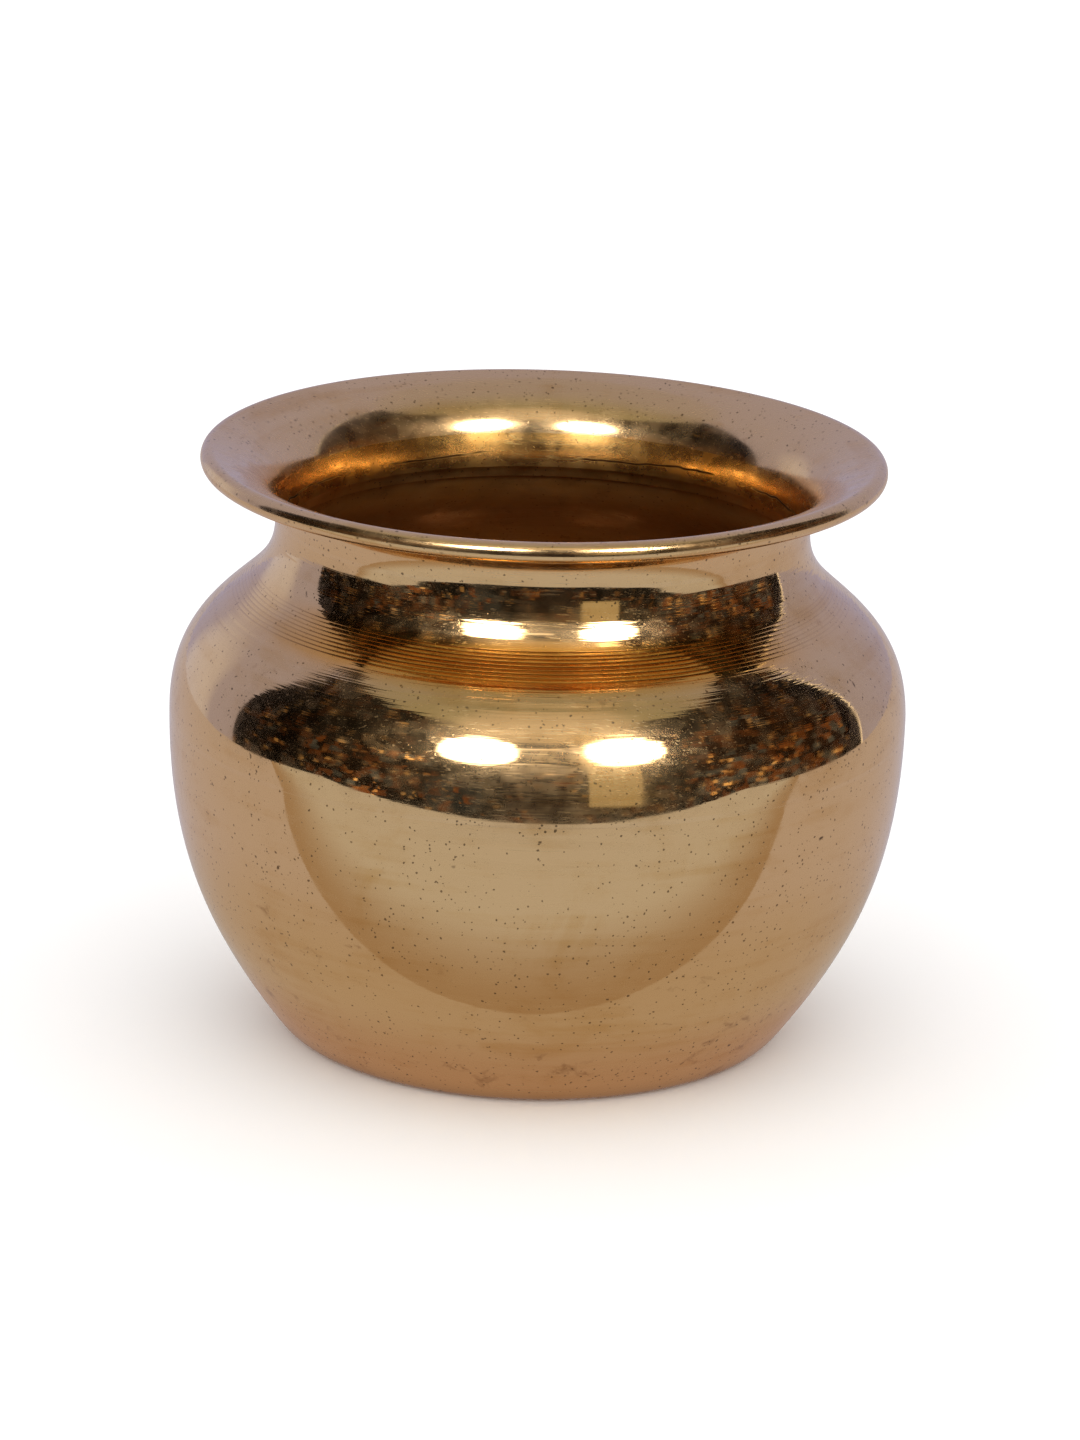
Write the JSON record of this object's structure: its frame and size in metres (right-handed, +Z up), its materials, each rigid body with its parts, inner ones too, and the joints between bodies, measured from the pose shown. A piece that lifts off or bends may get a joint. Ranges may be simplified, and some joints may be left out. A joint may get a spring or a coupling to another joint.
{
  "type": "brass kalash pot",
  "caption": "Round-bellied water pot of spun sheet brass with a flat foot, a grooved shoulder, a narrow neck and a wide flared mouth with a rolled, wired lip.",
  "frame": {"origin": "centre of the flat foot, on the surface the pot stands on", "axes": "+Z up along the pot's turning axis, towards the mouth; +Y away from the viewer; the pot is the same all round"},
  "size_m": [0.125, 0.125, 0.1005],
  "materials": {
    "spun_brass": "polished, with lathe marks and light tarnish",
    "drawn_brass_wire": "drawn",
    "brass_spelter": "filed"
  },
  "bodies": {
    "root": {"lower_bowl": "spun_brass", "shoulder_shell": "spun_brass", "neck_collar": "spun_brass", "rim_wire": "drawn_brass_wire", "belly_braze": "brass_spelter", "neck_braze": "brass_spelter"}
  },
  "joints": []
}
